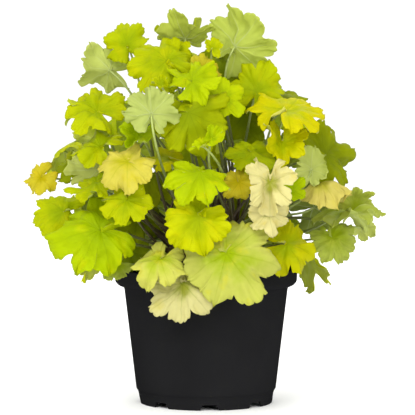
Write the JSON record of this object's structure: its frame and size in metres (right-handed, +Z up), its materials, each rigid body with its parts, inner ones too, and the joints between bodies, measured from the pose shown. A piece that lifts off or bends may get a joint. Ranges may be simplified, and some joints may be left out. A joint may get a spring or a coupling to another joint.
{
  "type": "potted heuchera plant",
  "caption": "Heuchera with a rounded mound of lime and yellow lobed leaves on thin stalks, growing in a round black plastic nursery pot with a notched foot.",
  "frame": {"origin": "on the floor below the middle of the plant, on the pot's axis", "axes": "+Z up along the pot's axis, -Y towards the viewer of the picture, +X to the right"},
  "size_m": [0.2952, 0.2465, 0.3265],
  "materials": {
    "black polypropylene": "satin",
    "bright lime leaf": "matte",
    "cream leaf": "matte",
    "grey green leaf underside": "matte",
    "lime leaf": "matte",
    "mid green leaf": "matte",
    "olive shade leaf": "matte",
    "orange yellow leaf": "matte",
    "peach leaf": "matte",
    "peat soil": "matte",
    "woody crown": "matte",
    "yellow leaf": "matte"
  },
  "bodies": {
    "root": {"crown": "woody crown", "leaf_back_1": "lime leaf", "leaf_back_2": "lime leaf", "leaf_back_3": "mid green leaf", "leaf_back_4": "mid green leaf", "leaf_back_5": "lime leaf", "leaf_back_6": "bright lime leaf", "leaf_back_7": "bright lime leaf", "leaf_front_1": "lime leaf", "leaf_front_10": "peach leaf", "leaf_front_11": "bright lime leaf", "leaf_front_12": "mid green leaf", "leaf_front_2": "cream leaf", "leaf_front_3": "lime leaf", "leaf_front_4": "bright lime leaf", "leaf_front_5": "cream leaf", "leaf_front_6": "yellow leaf", "leaf_front_7": "mid green leaf", "leaf_front_8": "grey green leaf underside", "leaf_front_9": "mid green leaf", "leaf_left_1": "bright lime leaf", "leaf_left_10": "yellow leaf", "leaf_left_11": "bright lime leaf", "leaf_left_12": "grey green leaf underside", "leaf_left_2": "lime leaf", "leaf_left_3": "yellow leaf", "leaf_left_4": "lime leaf", "leaf_left_5": "orange yellow leaf", "leaf_left_6": "lime leaf", "leaf_left_7": "grey green leaf underside", "leaf_left_8": "olive shade leaf", "leaf_left_9": "lime leaf", "leaf_right_1": "lime leaf", "leaf_right_10": "bright lime leaf", "leaf_right_11": "grey green leaf underside", "leaf_right_12": "mid green leaf", "leaf_right_13": "grey green leaf underside", "leaf_right_2": "yellow leaf", "leaf_right_3": "olive shade leaf", "leaf_right_4": "yellow leaf", "leaf_right_5": "grey green leaf underside", "leaf_right_6": "cream leaf", "leaf_right_7": "cream leaf", "leaf_right_8": "peach leaf", "leaf_right_9": "grey green leaf underside", "leaf_shade_1": "olive shade leaf", "leaf_shade_2": "olive shade leaf", "leaf_shade_3": "olive shade leaf", "leaf_top_1": "lime leaf", "leaf_top_10": "lime leaf", "leaf_top_2": "grey green leaf underside", "leaf_top_3": "lime leaf", "leaf_top_4": "mid green leaf", "leaf_top_5": "lime leaf", "leaf_top_6": "bright lime leaf", "leaf_top_7": "lime leaf", "leaf_top_8": "orange yellow leaf", "leaf_top_9": "yellow leaf", "pot": "black polypropylene", "soil": "peat soil"}
  },
  "joints": []
}
